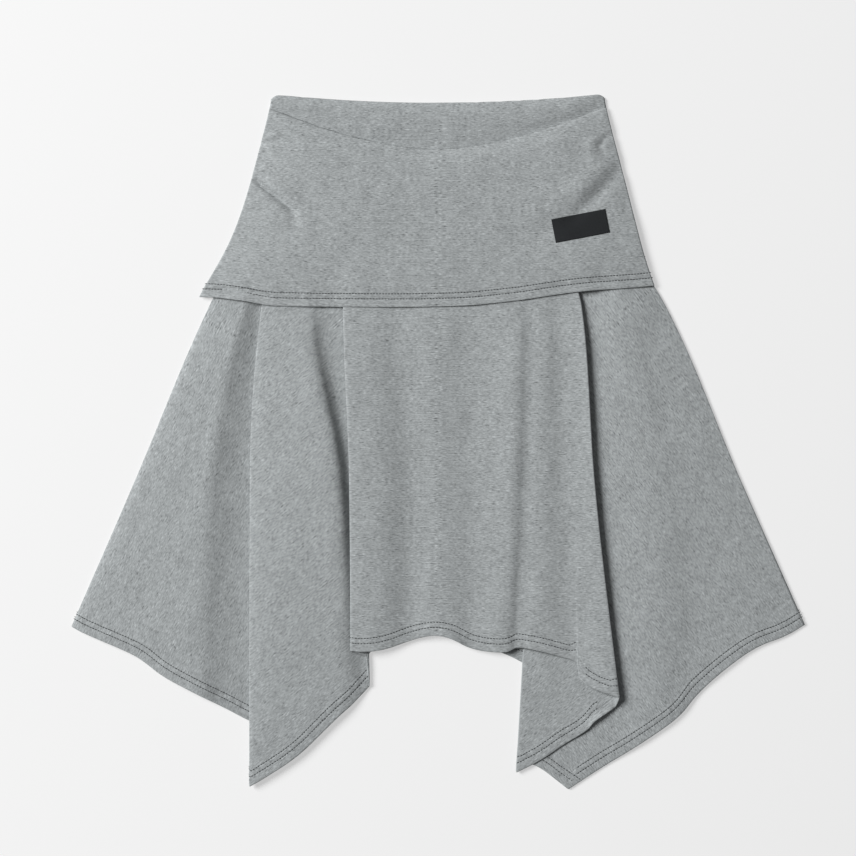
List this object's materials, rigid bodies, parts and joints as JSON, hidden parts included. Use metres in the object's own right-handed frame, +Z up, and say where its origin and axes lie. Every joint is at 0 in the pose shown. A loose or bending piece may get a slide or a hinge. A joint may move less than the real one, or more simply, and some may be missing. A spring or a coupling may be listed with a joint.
{
  "type": "asymmetric skirt",
  "caption": "Jersey skirt laid flat, front up: folded-over waist, soft deep pleats and a pointed, uneven hem.",
  "frame": {"origin": "bottom centre of the bounding box, on the surface that the skirt lies on", "axes": "+X across the skirt to the right as it is seen, +Y towards the waist, +Z up from the surface and out of the front"},
  "size_m": [0.7346, 0.6954, 0.0153],
  "materials": {
    "heather_jersey": "soft heather grey single jersey, matt",
    "black_woven": "black woven ribbon, slight sheen"
  },
  "bodies": {
    "root": {"skirt_front": "heather_jersey", "skirt_back": "heather_jersey", "yoke_front": "heather_jersey", "yoke_back": "heather_jersey", "label": "black_woven"}
  },
  "joints": []
}
